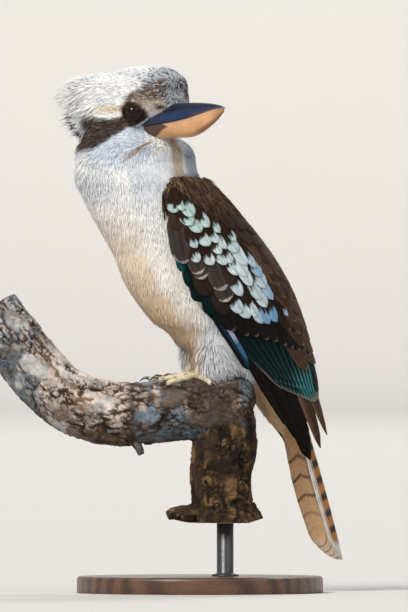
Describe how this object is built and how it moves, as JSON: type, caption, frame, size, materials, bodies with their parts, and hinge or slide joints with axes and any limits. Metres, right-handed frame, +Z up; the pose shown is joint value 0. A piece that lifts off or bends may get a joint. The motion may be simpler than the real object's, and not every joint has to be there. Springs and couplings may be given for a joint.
{
  "type": "laughing kookaburra model on a branch",
  "caption": "Life-size still kookaburra that sits on a cut length of branch and looks back over its left shoulder, on a plain round display stand.",
  "frame": {"origin": "centre of the display base's underside, on the floor", "axes": "+Z up; seen along +Y, the bird's breast points to -X and towards the viewer by 28 degrees, and its bill points to +X and towards the viewer by 43 degrees"},
  "size_m": [0.2695, 0.1762, 0.3776],
  "materials": {
    "white_plumage": "soft white feathers",
    "brown_plumage": "dark brown feathers",
    "barred_plumage": "buff feathers with dark bars",
    "dark_horn": "smooth blue-black horn",
    "pale_horn": "smooth peach-coloured horn",
    "eye": "wet, dark brown",
    "foot_skin": "scaly, pale yellow",
    "claw_horn": "dark horn",
    "bark": "rough grey and brown bark",
    "stand_wood": "dark, satin",
    "stand_metal": "dark grey, satin"
  },
  "bodies": {
    "root": {"head": "white_plumage", "neck": "white_plumage", "torso": "white_plumage", "bill_upper": "dark_horn", "bill_lower": "pale_horn", "eye_right": "eye", "eye_left": "eye", "wing_left": "brown_plumage", "wing_right": "brown_plumage", "tail": "barred_plumage", "thigh_left": "white_plumage", "thigh_right": "white_plumage", "foot_left": "foot_skin", "foot_right": "foot_skin", "claw_left_inner": "claw_horn", "claw_left_middle": "claw_horn", "claw_left_outer": "claw_horn", "claw_left_hind": "claw_horn", "claw_right_inner": "claw_horn", "claw_right_middle": "claw_horn", "claw_right_outer": "claw_horn", "claw_right_hind": "claw_horn", "perch": "bark", "stand_base": "stand_wood", "stand_rod": "stand_metal"}
  },
  "joints": []
}
